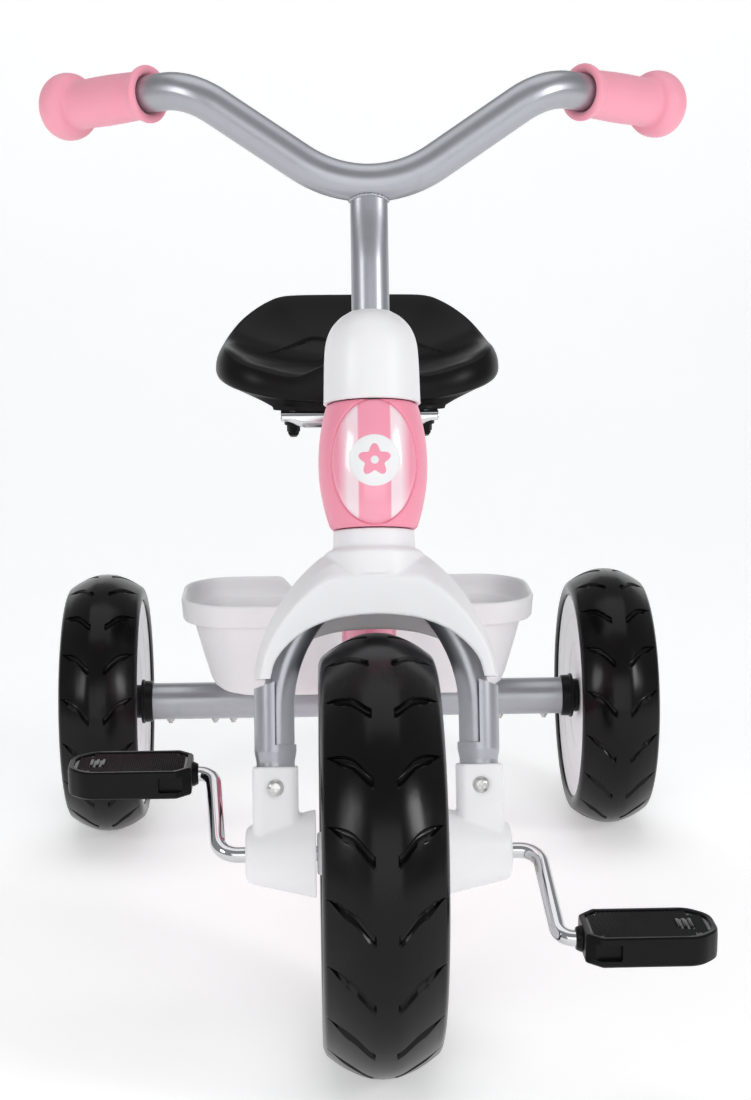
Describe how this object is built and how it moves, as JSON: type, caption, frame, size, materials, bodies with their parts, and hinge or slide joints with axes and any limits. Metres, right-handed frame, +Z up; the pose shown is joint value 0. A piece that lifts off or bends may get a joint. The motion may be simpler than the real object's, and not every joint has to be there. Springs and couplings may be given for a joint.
{
  "type": "children's tricycle",
  "caption": "Child's pedal tricycle with a large front driving wheel, swept handlebar with soft grips, moulded saddle, fender over the fork crown and a rear basket.",
  "frame": {"origin": "on the floor, at the centre of the footprint", "axes": "+Z up, the front wheel towards -Y, +X to the rider's left"},
  "size_m": [0.448, 0.662, 0.5688],
  "materials": {
    "silver_paint": "metallic silver paint, satin gloss",
    "pink_paint": "gloss enamel",
    "pink_plastic": "satin moulded plastic",
    "pink_rubber": "soft matt grip",
    "white_plastic": "satin moulded plastic",
    "black_foam_tyre": "glossy closed-cell foam",
    "black_seat": "satin moulded seat",
    "black_plastic": "satin moulded plastic",
    "nylon": "natural nylon",
    "chrome": "polished chrome plate",
    "zinc_steel": "bright zinc plate"
  },
  "bodies": {
    "frame": {"axle_tube_screws": "zinc_steel", "basket": "white_plastic", "basket_bracket": "zinc_steel", "basket_screws": "zinc_steel", "head_badge": "pink_plastic", "head_cover": "pink_plastic", "head_tube": "pink_paint", "left_axle_collar": "black_plastic", "lower_head_bush": "nylon", "main_tube": "pink_paint", "rear_axle_nuts": "zinc_steel", "rear_axle_rod": "zinc_steel", "rear_axle_tube": "silver_paint", "right_axle_collar": "black_plastic", "seat": "black_seat", "seat_bolts": "zinc_steel", "seat_bracket": "chrome", "seat_cap_nuts": "black_plastic", "seat_post": "silver_paint", "seat_spacers": "black_plastic", "upper_head_bush": "nylon"},
    "steering": {"handlebar_tube": "silver_paint", "stem_tube": "silver_paint", "left_grip": "pink_rubber", "right_grip": "pink_rubber", "steering_cap": "white_plastic", "steerer_tube": "silver_paint", "left_fork_tube": "silver_paint", "right_fork_tube": "silver_paint", "left_fork_sleeve": "silver_paint", "right_fork_sleeve": "silver_paint", "fender": "white_plastic", "left_fork_cover": "white_plastic", "right_fork_cover": "white_plastic", "fork_cover_screws": "zinc_steel", "left_crank_bush": "nylon", "right_crank_bush": "nylon", "stem_bolt": "zinc_steel", "stem_nut": "zinc_steel", "fender_screw": "zinc_steel"},
    "front_wheel": {"front_tyre": "black_foam_tyre", "left_front_rim": "white_plastic", "right_front_rim": "white_plastic", "crank_axle": "chrome", "drive_pin": "zinc_steel"},
    "left_pedal": {"left_pedal_body": "black_plastic", "left_pedal_collar": "black_plastic", "left_pedal_treads": "black_plastic"},
    "right_pedal": {"right_pedal_body": "black_plastic", "right_pedal_collar": "black_plastic", "right_pedal_treads": "black_plastic"},
    "left_rear_wheel": {"left_hub_cap": "white_plastic", "left_rear_rim_inner": "white_plastic", "left_rear_rim_outer": "white_plastic", "left_rear_tyre": "black_foam_tyre"},
    "right_rear_wheel": {"right_hub_cap": "white_plastic", "right_rear_rim_inner": "white_plastic", "right_rear_rim_outer": "white_plastic", "right_rear_tyre": "black_foam_tyre"}
  },
  "joints": [
    {"name": "steering_turn", "type": "hinge", "parent": "frame", "child": "steering", "pos_m": [0, -0.206, 0.125], "axis": [0, 0.2588, 0.9659], "range_deg": [-45, 45]},
    {"name": "front_wheel_spin", "type": "hinge", "parent": "steering", "child": "front_wheel", "pos_m": [0, -0.206, 0.125], "axis": [1, 0, 0], "continuous": true},
    {"name": "left_pedal_spin", "type": "hinge", "parent": "front_wheel", "child": "left_pedal", "pos_m": [0.1445, -0.266, 0.095], "axis": [1, 0, 0], "continuous": true},
    {"name": "right_pedal_spin", "type": "hinge", "parent": "front_wheel", "child": "right_pedal", "pos_m": [-0.1445, -0.146, 0.155], "axis": [1, 0, 0], "continuous": true},
    {"name": "left_rear_wheel_spin", "type": "hinge", "parent": "frame", "child": "left_rear_wheel", "pos_m": [0.195, 0.231, 0.1], "axis": [1, 0, 0], "continuous": true},
    {"name": "right_rear_wheel_spin", "type": "hinge", "parent": "frame", "child": "right_rear_wheel", "pos_m": [-0.195, 0.231, 0.1], "axis": [1, 0, 0], "continuous": true}
  ]
}
